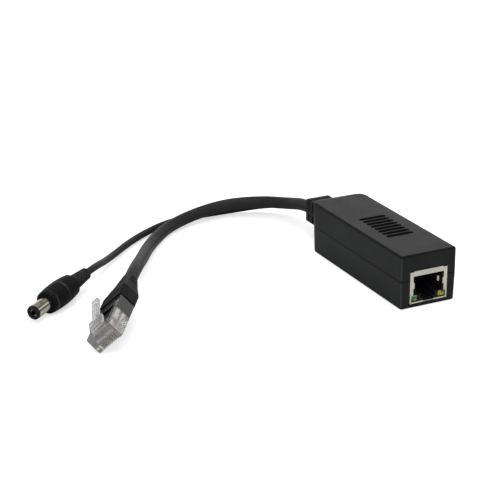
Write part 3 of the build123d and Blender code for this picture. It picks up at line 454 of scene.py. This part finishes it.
goldLook = {
    "colour": (0.70, 0.50, 0.20, 1),
    "tarnish": (0.55, 0.40, 0.18, 1),
    "edgeColour": (0.85, 0.68, 0.35, 1),
    "gloss": (0.22, 0.34),
    "edgeRadius": 0.00005,
}
paint(platedMetal("goldFlash", goldLook), "jack_contacts", "plug_contacts")

# the jack's black insert, and the ring at the tip of the barrel
insertLook = {
    "colour": (0.009, 0.0093, 0.0093, 1),
    "colourFar": (0.012, 0.0123, 0.0121, 1),
    "edgeColour": (0.028, 0.028, 0.028, 1),
    "specular": 0.12,
    "gloss": (0.4, 0.52),
    "grainScale": 3000.0,
    "grainStrength": 0.3,
    "edgeRadius": 0.0002,
    "dust": 0.0,
}
paint(mouldedPlastic("insertPlastic", insertLook), "jack_insert", "dc_tip_insulator")


# the clear plug lies at an angle, so its tones are set out from its nose, along its own axes

def alongPlug(tree, look, axis):
    offset = addNode(tree, "ShaderNodeVectorMath", operation="SUBTRACT")
    feed(tree, offset.inputs[0], objectSpace(tree))
    feed(tree, offset.inputs[1], look["nose"])
    travel = addNode(tree, "ShaderNodeVectorMath", operation="DOT_PRODUCT")
    feed(tree, travel.inputs[0], offset.outputs[0])
    feed(tree, travel.inputs[1], look[axis])
    return travel.outputs["Value"]


def paintedCoreDarkMask(tree, look):
    # 1 over the rear of the body, where the dark of the boot's core seen through it is painted on,
    # and 0 at the nose and on the latch
    back = alongPlug(tree, look, "backward")
    behind = spread(tree, back, look["rearFrom"] - look["rearFade"], look["rearFrom"])
    rise = alongPlug(tree, look, "upward")
    below = spread(tree, rise, look["latchFrom"] + look["latchFade"], look["latchFrom"])
    return maths(tree, "MULTIPLY", behind, below, clamp=True)


def clearPlastic(name, look):
    material, tree, shader = startMaterial(name)
    smudge(tree, shader, look)
    grain = place(tree, mouldGrain, Scale=look["grainScale"], Pits=look["pits"])
    edgeWearAndLightMarks = placeEdgeWearAndLight(tree, look)
    back = alongPlug(tree, look, "backward")
    front = spread(tree, back, look["noseEnd"], look["noseFull"])
    rise = alongPlug(tree, look, "upward")
    above = spread(tree, rise, look["latchFrom"], look["latchFrom"] + look["latchFade"])
    # the nose painted paler, as light through its thin clear plastic
    tone = blendColour(tree, front, look["colour"], look["paintedNoseLight"])
    tone = blendColour(tree, above, tone, look["latchColour"])
    # the rear painted dark where the core shows through the clear body
    tone = blendColour(tree, paintedCoreDarkMask(tree, look), tone, look["paintedCoreDark"])
    feed(tree, shader.inputs["Base Color"], tone)
    setShader(shader, IOR=look["ior"], Specular_IOR_Level=look["specular"])
    setShader(shader, Transmission_Weight=look["clear"])
    strength, depth = look["grainStrength"], look["grainDepth"]
    bumped(tree, shader, grain["Height"], strength, depth, edgeWearAndLightMarks["Normal"])
    return material


# distances are in metres, back from the nose or up from it
plugLook = {
    "colour": (0.68, 0.68, 0.665, 1),
    # the nose painted paler, as light through its thin clear plastic
    "paintedNoseLight": (1.0, 1.0, 0.98, 1),
    "latchColour": (0.68, 0.68, 0.67, 1),
    # painted dark of the core seen through the rear of the clear body
    "paintedCoreDark": (0.04, 0.041, 0.041, 1),
    "nose": (0.02212, -0.12048, 0.00397),
    "backward": (-0.8270, 0.5537, 0.0976),
    "upward": (-0.3201, -0.6064, 0.7279),
    "noseFull": 0.0003,
    "noseEnd": 0.0006,
    "rearFrom": 0.0122,
    "rearFade": 0.002,
    "latchFrom": 0.0064,
    "latchFade": 0.0006,
    "clear": 0.82,
    "specular": 0.3,
    "gloss": (0.05, 0.12),
    "ior": 1.45,
    "smudgeScale": 200.0,
    "grainScale": 900.0,
    "pits": 0.3,
    "grainStrength": 0.1,
    "grainDepth": 0.00001,
    "edgeRadius": 0.0002,
    "edgeBreakup": 1200.0,
}
paint(clearPlastic("plugClear", plugLook), "plug_body")


# the jack's two lamps: tinted lenses with a darker depth, painted shade at their rims and a few
# painted glints

def lampLens(name, look):
    material, tree, shader = startMaterial(name)
    grain = place(tree, mouldGrain, Scale=look["grainScale"], Pits=look["pits"])
    edgeWearAndLightMarks = placeEdgeWearAndLight(tree, look)
    clouds = noise(tree, objectSpace(tree), look["depthScale"], 2.0)
    inside = spread(tree, clouds, 0.42, 0.58)
    tone = blendColour(tree, inside, look["colour"], look["deepColour"])
    # painted shade darkens the rims
    tone = blendColour(tree, edgeWearAndLightMarks["Mask"], tone, look["deepColour"])
    # painted glints: small bright spots
    glintNoise = noise(tree, objectSpace(tree), look["glintScale"], 1.0)
    paintedGlints = spread(tree, glintNoise, 0.64, 0.68)
    tone = blendColour(tree, paintedGlints, tone, look["paintedGlintColour"])
    feed(tree, shader.inputs["Base Color"], tone)
    setShader(shader, Roughness=look["roughness"], Specular_IOR_Level=look["specular"])
    setShader(shader, Coat_Weight=look["coat"], Coat_Roughness=look["coatRoughness"])
    strength, depth = look["grainStrength"], look["grainDepth"]
    bumped(tree, shader, grain["Height"], strength, depth, edgeWearAndLightMarks["Normal"])
    return material


lensLook = {
    "specular": 0.2,
    "roughness": 0.28,
    "coat": 0.12,
    "coatRoughness": 0.08,
    "depthScale": 900.0,
    "glintScale": 1400.0,
    "grainScale": 2500.0,
    "pits": 0.4,
    "grainStrength": 0.15,
    "grainDepth": 0.00001,
    "edgeRadius": 0.0002,
    "edgeBreakup": 1500.0,
}
greenLook = dict(
    lensLook,
    colour=(0.15, 0.36, 0.14, 1),
    deepColour=(0.03, 0.09, 0.03, 1),
    paintedGlintColour=(0.5, 0.75, 0.5, 1),
)
yellowLook = dict(
    lensLook,
    colour=(0.38, 0.36, 0.03, 1),
    deepColour=(0.07, 0.066, 0.01, 1),
    paintedGlintColour=(0.9, 0.9, 0.75, 1),
)
paint(lampLens("lampGreen", greenLook), "led_green")
paint(lampLens("lampYellow", yellowLook), "led_yellow")


# insulated wires, in the plug and inside the housing
wireLook = {
    "gloss": (0.3, 0.42),
    "grainScale": 2500.0,
    "grainStrength": 0.12,
    "edgeRadius": 0.0001,
    "dust": 0.0,
}
redLook = dict(
    wireLook,
    colour=(0.72, 0.03, 0.012, 1),
    colourFar=(0.6, 0.022, 0.01, 1),
    edgeColour=(0.85, 0.12, 0.06, 1),
)
paleLook = dict(
    wireLook,
    colour=(0.4, 0.37, 0.31, 1),
    colourFar=(0.3, 0.28, 0.24, 1),
    edgeColour=(0.55, 0.53, 0.48, 1),
)
blackLook = dict(
    wireLook,
    colour=(0.01, 0.01, 0.01, 1),
    colourFar=(0.014, 0.014, 0.014, 1),
    edgeColour=(0.04, 0.04, 0.04, 1),
)
paint(mouldedPlastic("wireRed", redLook), "plug_wires_red", "dc_lead_positive")
paint(mouldedPlastic("wirePale", paleLook), "plug_wires_pale", "network_leads")
paint(mouldedPlastic("wireBlack", blackLook), "dc_lead_negative")


# inside the housing: the board and what is soldered to it

def boardLaminate(name, look):
    material, tree, shader = startMaterial(name)
    where = objectSpace(tree)
    tracks = addNode(tree, "ShaderNodeTexBrick")
    feed(tree, tracks.inputs["Vector"], where)
    tracks.inputs["Scale"].default_value = look["trackScale"]
    tracks.inputs["Mortar Size"].default_value = look["trackWidth"]
    tracks.inputs["Color1"].default_value = look["colour"]
    tracks.inputs["Color2"].default_value = look["colourFar"]
    tracks.inputs["Mortar"].default_value = look["trackColour"]
    weave = noise(tree, where, look["weaveScale"], 2.0)
    edgeWearAndLightMarks = placeEdgeWearAndLight(tree, look)
    tone = blendColour(tree, edgeWearAndLightMarks["Mask"], tracks.outputs["Color"], look["edgeColour"])
    feed(tree, shader.inputs["Base Color"], tone)
    smudge(tree, shader, look)
    bumped(tree, shader, weave, look["weaveStrength"], look["weaveDepth"], edgeWearAndLightMarks["Normal"])
    return material


boardLook = {
    "colour": (0.01, 0.11, 0.035, 1),
    "colourFar": (0.012, 0.13, 0.045, 1),
    "trackColour": (0.03, 0.22, 0.08, 1),
    "trackScale": 160.0,
    "trackWidth": 0.04,
    "edgeColour": (0.45, 0.42, 0.25, 1),
    "edgeRadius": 0.0001,
    "edgeBreakup": 2000.0,
    "gloss": (0.3, 0.42),
    "smudgeScale": 120.0,
    "weaveScale": 3000.0,
    "weaveStrength": 0.2,
    "weaveDepth": 0.00001,
}
paint(boardLaminate("boardLaminate", boardLook), "circuit_board")

componentLook = {
    "grainScale": 2500.0,
    "grainStrength": 0.25,
    "edgeRadius": 0.00012,
    "dust": 0.02,
}
epoxyLook = dict(
    componentLook,
    colour=(0.012, 0.012, 0.013, 1),
    colourFar=(0.018, 0.018, 0.02, 1),
    edgeColour=(0.06, 0.06, 0.06, 1),
    gloss=(0.45, 0.6),
)
ferriteLook = dict(
    componentLook,
    colour=(0.03, 0.029, 0.03, 1),
    colourFar=(0.05, 0.048, 0.05, 1),
    edgeColour=(0.12, 0.12, 0.12, 1),
    gloss=(0.55, 0.7),
    grainScale=4000.0,
    grainStrength=0.5,
)
tapeLook = dict(
    componentLook,
    colour=(0.55, 0.36, 0.04, 1),
    colourFar=(0.45, 0.28, 0.03, 1),
    edgeColour=(0.7, 0.5, 0.12, 1),
    gloss=(0.28, 0.4),
    grainScale=1500.0,
    grainStrength=0.15,
)
bobbinLook = dict(
    componentLook,
    colour=(0.02, 0.02, 0.022, 1),
    colourFar=(0.03, 0.03, 0.032, 1),
    edgeColour=(0.08, 0.08, 0.08, 1),
    gloss=(0.4, 0.55),
)
ceramicLook = dict(
    componentLook,
    colour=(0.32, 0.26, 0.19, 1),
    colourFar=(0.25, 0.2, 0.14, 1),
    edgeColour=(0.7, 0.69, 0.66, 1),
    gloss=(0.35, 0.5),
    grainScale=3500.0,
    grainStrength=0.2,
)
canLook = {
    "colour": (0.62, 0.63, 0.65, 1),
    "tarnish": (0.5, 0.51, 0.53, 1),
    "edgeColour": (0.8, 0.81, 0.82, 1),
    "gloss": (0.28, 0.4),
    "edgeRadius": 0.0002,
}
paint(
    mouldedPlastic("componentEpoxy", epoxyLook),
    "lan_magnetics",
    "bridge_rectifiers",
    "poe_controller",
    "power_mosfet",
    "optocoupler",
    "output_diode",
)
paint(mouldedPlastic("ferrite", ferriteLook), "transformer_core", "inductor_drum")
paint(mouldedPlastic("windingTape", tapeLook), "transformer_coil", "inductor_winding")
paint(mouldedPlastic("bobbinPhenolic", bobbinLook), "transformer_base")
paint(mouldedPlastic("chipCeramic", ceramicLook), "chip_parts")
paint(platedMetal("capacitorCan", canLook), "input_capacitor", "output_capacitor")
print("materials on", len(nodes), "nodes")


# the two leads

jacketLook = {
    "colour": (0.019, 0.0194, 0.0192, 1),
    "colourFar": (0.025, 0.0254, 0.0252, 1),
    "edgeColour": (0.03, 0.03, 0.03, 1),
    "specular": 0.09,
    "gloss": (0.36, 0.48),
    "smudgeScale": 120.0,
    "grainScale": 1400.0,
    "grainStrength": 0.35,
    "grainDepth": 0.00004,
    "edgeRadius": 0.0001,
    "dust": 0.03,
}
jacketPlastic = mouldedPlastic("cableJacket", jacketLook)


def layLead(name, lead):
    curve = bpy.data.curves.new(name, "CURVE")
    curve.dimensions = "3D"
    curve.bevel_depth = lead["diameter"] / 2
    curve.bevel_resolution = 8
    curve.resolution_u = 16
    curve.use_fill_caps = True
    spline = curve.splines.new("NURBS")
    spline.points.add(len(lead["points"]) - 1)
    for knot, point in zip(spline.points, lead["points"]):
        knot.co = (*point, 1.0)
    spline.order_u = 3
    spline.use_endpoint_u = True
    curve.materials.append(jacketPlastic)
    cord = bpy.data.objects.new(name, curve)
    bpy.context.collection.objects.link(cord)
    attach(cord, "root")
    return cord


# points run from the grommet to each plug, in metres, the same as the route of the CAD lead
networkLead = {
    "diameter": 0.0051,
    "length": 0.158,
    "points": [
        (-0.0511, -0.0022, 0.0108),
        (-0.0583, -0.0022, 0.0108),
        (-0.0703, -0.0041, 0.0077),
        (-0.0813, -0.0122, 0.0065),
        (-0.0883, -0.0289, 0.0052),
        (-0.0822, -0.0540, 0.0028),
        (-0.0638, -0.0712, 0.0027),
        (-0.0409, -0.0837, 0.0066),
        (-0.022107, -0.093581, 0.011466),
        (-0.014085, -0.098951, 0.010519),
    ],
}
powerLead = {
    "diameter": 0.0028,
    "length": 0.1571,
    "points": [
        (-0.0511, 0.0028, 0.0106),
        (-0.0588, 0.0028, 0.0106),
        (-0.0727, -0.0002, 0.0054),
        (-0.0833, -0.0079, 0.0037),
        (-0.0897, -0.0228, 0.00145),
        (-0.0904, -0.0486, 0.00145),
        (-0.0770, -0.0716, 0.0019),
        (-0.0555, -0.0932, 0.0026),
        (-0.042292, -0.101853, 0.006953),
        (-0.037599, -0.108059, 0.006395),
    ],
}
networkCord = layLead("networkCord", networkLead)
powerCord = layLead("powerCord", powerLead)
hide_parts("network_cable")
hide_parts("dc_cable")
print("leads laid")


# floor, white surroundings, lamps and camera

studio = {
    "floorReach": 3.0,
    "floorColour": (0.72, 0.72, 0.72, 1),
    "floorRoughness": 0.9,
    "floorSpecular": 0.1,
    "floorGlow": 0.6,           # lifts the floor to white for the camera
    "sweepTop": 0.40,
    "ceilingFrom": 0.62,
    "ceilingLight": 0.09,
    "worldLight": (0.44, 0.445, 0.46, 1),
    "lampAim": (-0.03, -0.05, 0.0),
    "key": {"place": (0.45, -0.45, 0.80), "size": 0.7, "power": 2.2},
    "top": {"place": (-0.12, 0.08, 0.95), "size": 0.9, "power": 4.6},
    "fill": {"place": (0.75, 0.35, 0.35), "size": 0.6, "power": 1.4},
}


def buildFloor():
    reach = studio["floorReach"]
    corners = [(-reach, -reach, 0), (reach, -reach, 0), (reach, reach, 0), (-reach, reach, 0)]
    mesh = bpy.data.meshes.new("floor")
    mesh.from_pydata(corners, [], [(0, 1, 2, 3)])
    floor = bpy.data.objects.new("floor", mesh)
    bpy.context.collection.objects.link(floor)
    material, tree, shader = startMaterial("floorPaper")
    rays = addNode(tree, "ShaderNodeLightPath")
    setShader(shader, Base_Color=studio["floorColour"])
    setShader(shader, Roughness=studio["floorRoughness"])
    setShader(shader, Specular_IOR_Level=studio["floorSpecular"])
    # the camera sees a lifted, nearly white floor that keeps the shadow; glass sees it plain white
    glow = addNode(tree, "ShaderNodeEmission")
    lift = maths(tree, "MULTIPLY", rays.outputs["Is Camera Ray"], studio["floorGlow"])
    feed(tree, glow.inputs["Strength"], lift)
    both = addNode(tree, "ShaderNodeAddShader")
    feed(tree, both.inputs[0], shader.outputs[0])
    feed(tree, both.inputs[1], glow.outputs[0])
    white = addNode(tree, "ShaderNodeEmission")
    seen = addNode(tree, "ShaderNodeMixShader")
    feed(tree, seen.inputs[0], rays.outputs["Is Transmission Ray"])
    feed(tree, seen.inputs[1], both.outputs[0])
    feed(tree, seen.inputs[2], white.outputs[0])
    feed(tree, tree.nodes["Material Output"].inputs["Surface"], seen.outputs[0])
    mesh.materials.append(material)


def buildWorld():
    world = bpy.data.worlds.new("studioWorld")
    bpy.context.scene.world = world
    world.use_nodes = True
    tree = world.node_tree
    background = tree.nodes["Background"]
    background.inputs["Color"].default_value = studio["worldLight"]
    # seen directly or in a reflection, the surroundings are a white sweep under a grey ceiling
    white = addNode(tree, "ShaderNodeBackground")
    white.inputs["Color"].default_value = (1, 1, 1, 1)
    axes = addNode(tree, "ShaderNodeSeparateXYZ")
    feed(tree, axes.inputs[0], addNode(tree, "ShaderNodeTexCoord").outputs["Generated"])
    height, top, ceiling = axes.outputs["Z"], studio["sweepTop"], studio["ceilingFrom"]
    sweep = spread(tree, height, top, ceiling, 1.0, studio["ceilingLight"])
    feed(tree, white.inputs["Strength"], sweep)
    rays = addNode(tree, "ShaderNodeLightPath")
    reflected, through = rays.outputs["Is Glossy Ray"], rays.outputs["Is Transmission Ray"]
    mirrored = maths(tree, "MAXIMUM", reflected, through)
    seen = maths(tree, "MAXIMUM", rays.outputs["Is Camera Ray"], mirrored)
    mix = addNode(tree, "ShaderNodeMixShader")
    feed(tree, mix.inputs[0], seen)
    feed(tree, mix.inputs[1], background.outputs[0])
    feed(tree, mix.inputs[2], white.outputs[0])
    feed(tree, tree.nodes["World Output"].inputs["Surface"], mix.outputs[0])


def addLamp(name, lamp):
    light = bpy.data.lights.new(name, "AREA")
    light.size = lamp["size"]
    light.energy = lamp["power"]
    holder = bpy.data.objects.new(name, light)
    bpy.context.collection.objects.link(holder)
    holder.location = lamp["place"]
    aim = Vector(studio["lampAim"]) - Vector(lamp["place"])
    holder.rotation_euler = aim.to_track_quat("-Z", "Y").to_euler()


buildFloor()
buildWorld()
for lampName in ("key", "top", "fill"):
    addLamp(lampName + "Lamp", studio[lampName])

viewpoint = {
    "place": (0.461246, -0.277206, 0.219166),
    "turn": (68.705, 0.631, 64.142),    # degrees
    "lens": 106.04,
    "nearest": 0.01,
}
camera = bpy.data.objects.new("camera", bpy.data.cameras.new("camera"))
camera.data.lens = viewpoint["lens"]
camera.data.clip_start = viewpoint["nearest"]
camera.location = viewpoint["place"]
camera.rotation_euler = [math.radians(angle) for angle in viewpoint["turn"]]
bpy.context.collection.objects.link(camera)
bpy.context.scene.camera = camera
bpy.context.scene.view_settings.view_transform = "Standard"
print("floor, lamps and camera set")
